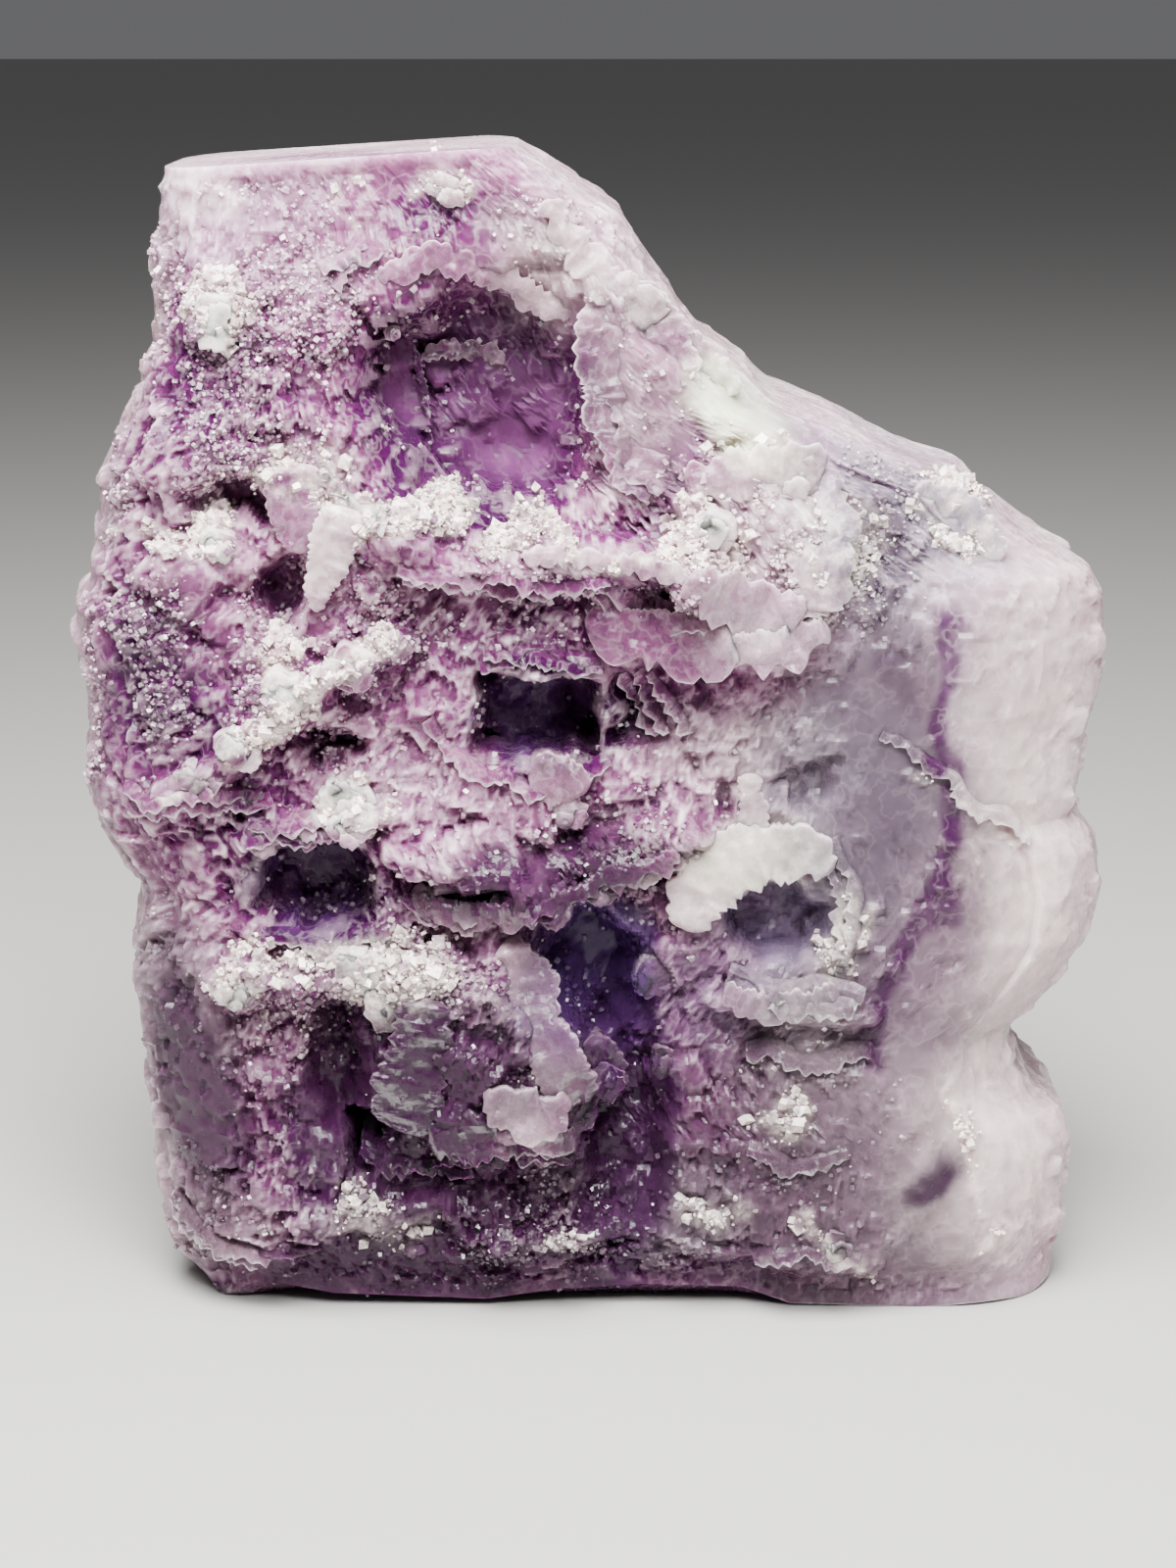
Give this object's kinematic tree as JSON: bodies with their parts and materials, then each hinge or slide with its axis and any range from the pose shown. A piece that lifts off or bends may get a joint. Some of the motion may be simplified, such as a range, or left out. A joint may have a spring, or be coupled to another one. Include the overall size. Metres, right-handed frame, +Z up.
{
  "type": "fluorite crystal cluster",
  "caption": "Free-standing slab of translucent purple fluorite with stepped cubic crystals, drusy ledges and dark pockets on the front, a flat top facet and a flat broken base.",
  "frame": {"origin": "middle of the resting face's plane under the middle of the whole piece's box", "axes": "+Z up, +X to the right of the crystal-covered front, front faces -Y"},
  "size_m": [0.081, 0.0456, 0.09],
  "materials": {
    "fluorite": "translucent purple to lilac-grey crystal, glassy faces under a frosted druse"
  },
  "bodies": {
    "root": {"fluorite_cluster": "fluorite"}
  },
  "joints": []
}
